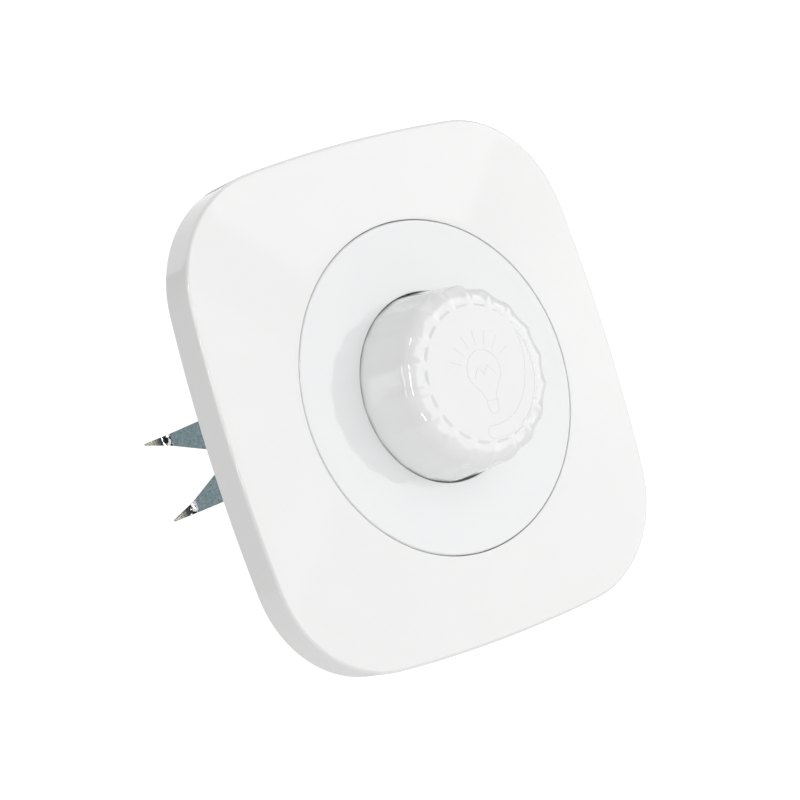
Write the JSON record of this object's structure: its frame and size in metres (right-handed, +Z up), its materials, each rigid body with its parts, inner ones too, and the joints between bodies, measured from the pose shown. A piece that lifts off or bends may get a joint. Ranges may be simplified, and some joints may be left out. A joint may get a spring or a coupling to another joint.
{
  "type": "rotary light dimmer",
  "caption": "Flush wall-mounted triac dimmer: fluted push-and-turn knob on a round centre plate in a bowed square frame, with steel support frame, spreading claws and cage terminals.",
  "frame": {"origin": "centre of the wall plane, midway between the box screws, on the back face of the support frame", "axes": "+X right as seen from the room, +Z up, -Y out of the wall towards the viewer"},
  "size_m": [0.0828, 0.0482, 0.085],
  "materials": {
    "white_plastic": "glossy white moulded plastic",
    "plate_plastic": "glossy white moulded plastic, slightly cooler",
    "knob_plastic": "glossy white moulded plastic with fine engraved lines",
    "zinc_steel": "bright zinc-plated sheet steel, bluish grey",
    "screw_steel": "zinc-plated turned steel",
    "spring_steel": "bare spring steel",
    "aluminium": "stamped aluminium",
    "brass": "nickel-free brass, machined",
    "housing_plastic": "matt dark grey thermosetting plastic",
    "cover_plastic": "matt dark grey plastic",
    "black_plastic": "matt black moulding compound",
    "board": "green lacquered circuit board",
    "ferrite": "matt grey ferrite",
    "copper": "lacquered copper wire",
    "capacitor_plastic": "yellow capacitor case",
    "small_capacitor_plastic": "red capacitor case",
    "resistor_ceramic": "beige lacquered ceramic",
    "component_glass": "clear glass with metal caps",
    "silicone": "grey silicone sheet"
  },
  "bodies": {
    "insert": {"cover_frame": "white_plastic", "centre_plate": "plate_plastic", "potentiometer_case": "brass", "potentiometer_washer": "screw_steel", "potentiometer_nut": "screw_steel", "switch_spring": "spring_steel", "support_frame": "zinc_steel", "heat_plate": "aluminium", "frame_screws": "screw_steel", "insert_base": "housing_plastic", "rear_cover": "cover_plastic", "cover_screws": "screw_steel", "terminal_bars": "brass", "circuit_board": "board", "insulating_pad": "silicone", "triac": "black_plastic", "triac_screw": "screw_steel", "choke_core": "ferrite", "choke_winding": "copper", "suppression_capacitor": "capacitor_plastic", "timing_capacitor": "small_capacitor_plastic", "resistors": "resistor_ceramic", "diac": "component_glass", "fuse": "component_glass", "fuse_clips": "brass"},
    "push_carriage": {"switch_plunger": "black_plastic"},
    "knob": {"knob": "knob_plastic", "knob_clip": "spring_steel", "potentiometer_shaft": "aluminium"},
    "claw_screw_left": {"claw_screw_left": "screw_steel"},
    "claw_nut_left": {"claw_nut_left": "screw_steel"},
    "claw_left": {"claw_left": "zinc_steel"},
    "claw_screw_right": {"claw_screw_right": "screw_steel"},
    "claw_nut_right": {"claw_nut_right": "screw_steel"},
    "claw_right": {"claw_right": "zinc_steel"},
    "terminal_screw_1": {"terminal_screw_1": "screw_steel"},
    "terminal_cage_1": {"terminal_cage_1": "brass"},
    "terminal_screw_2": {"terminal_screw_2": "screw_steel"},
    "terminal_cage_2": {"terminal_cage_2": "brass"},
    "terminal_screw_3": {"terminal_screw_3": "screw_steel"},
    "terminal_cage_3": {"terminal_cage_3": "brass"}
  },
  "joints": [
    {"name": "knob_push", "type": "slide", "parent": "insert", "child": "push_carriage", "axis": [0, 1, 0], "range_m": [0, 0.0012], "stiffness_N_per_m": 2500, "deforming": ["switch_spring"]},
    {"name": "knob_turn", "type": "hinge", "parent": "push_carriage", "child": "knob", "pos_m": [0, 0, 0], "axis": [0, 1, 0], "range_deg": [-153, 137]},
    {"name": "claw_screw_turn_left", "type": "hinge", "parent": "insert", "child": "claw_screw_left", "pos_m": [-0.0232, 0, 0], "axis": [0, 1, 0], "range_deg": [0, 2520.5]},
    {"name": "claw_nut_travel_left", "type": "slide", "parent": "insert", "child": "claw_nut_left", "axis": [0, -1, 0], "range_m": [0, 0.0049]},
    {"name": "claw_swing_left", "type": "hinge", "parent": "insert", "child": "claw_left", "pos_m": [-0.02311, 0.0028, 0], "axis": [0, 0, 1], "range_deg": [0, 10.01]},
    {"name": "claw_screw_turn_right", "type": "hinge", "parent": "insert", "child": "claw_screw_right", "pos_m": [0.0232, 0, 0], "axis": [0, 1, 0], "range_deg": [0, 2520.5]},
    {"name": "claw_nut_travel_right", "type": "slide", "parent": "insert", "child": "claw_nut_right", "axis": [0, -1, 0], "range_m": [0, 0.0049]},
    {"name": "claw_swing_right", "type": "hinge", "parent": "insert", "child": "claw_right", "pos_m": [0.02311, 0.0028, 0], "axis": [0, 0, -1], "range_deg": [0, 10.01]},
    {"name": "terminal_screw_turn_1", "type": "hinge", "parent": "insert", "child": "terminal_screw_1", "pos_m": [-0.01, 0, -0.0176], "axis": [0, -1, 0], "range_deg": [0, 2016.5]},
    {"name": "terminal_cage_lift_1", "type": "slide", "parent": "insert", "child": "terminal_cage_1", "axis": [0, 1, 0], "range_m": [0, 0.0028]},
    {"name": "terminal_screw_turn_2", "type": "hinge", "parent": "insert", "child": "terminal_screw_2", "pos_m": [0, 0, -0.0176], "axis": [0, -1, 0], "range_deg": [0, 2016.5]},
    {"name": "terminal_cage_lift_2", "type": "slide", "parent": "insert", "child": "terminal_cage_2", "axis": [0, 1, 0], "range_m": [0, 0.0028]},
    {"name": "terminal_screw_turn_3", "type": "hinge", "parent": "insert", "child": "terminal_screw_3", "pos_m": [0.01, 0, -0.0176], "axis": [0, -1, 0], "range_deg": [0, 2016.5]},
    {"name": "terminal_cage_lift_3", "type": "slide", "parent": "insert", "child": "terminal_cage_3", "axis": [0, 1, 0], "range_m": [0, 0.0028]}
  ],
  "couplings": [
    {"joint": "claw_screw_turn_left", "follows": "claw_nut_travel_left", "rad_per_m": 8976},
    {"joint": "claw_swing_left", "follows": "claw_nut_travel_left", "rad_per_m": 35.619},
    {"joint": "claw_screw_turn_right", "follows": "claw_nut_travel_right", "rad_per_m": 8976},
    {"joint": "claw_swing_right", "follows": "claw_nut_travel_right", "rad_per_m": 35.619},
    {"joint": "terminal_screw_turn_1", "follows": "terminal_cage_lift_1", "rad_per_m": 12566},
    {"joint": "terminal_screw_turn_2", "follows": "terminal_cage_lift_2", "rad_per_m": 12566},
    {"joint": "terminal_screw_turn_3", "follows": "terminal_cage_lift_3", "rad_per_m": 12566}
  ]
}
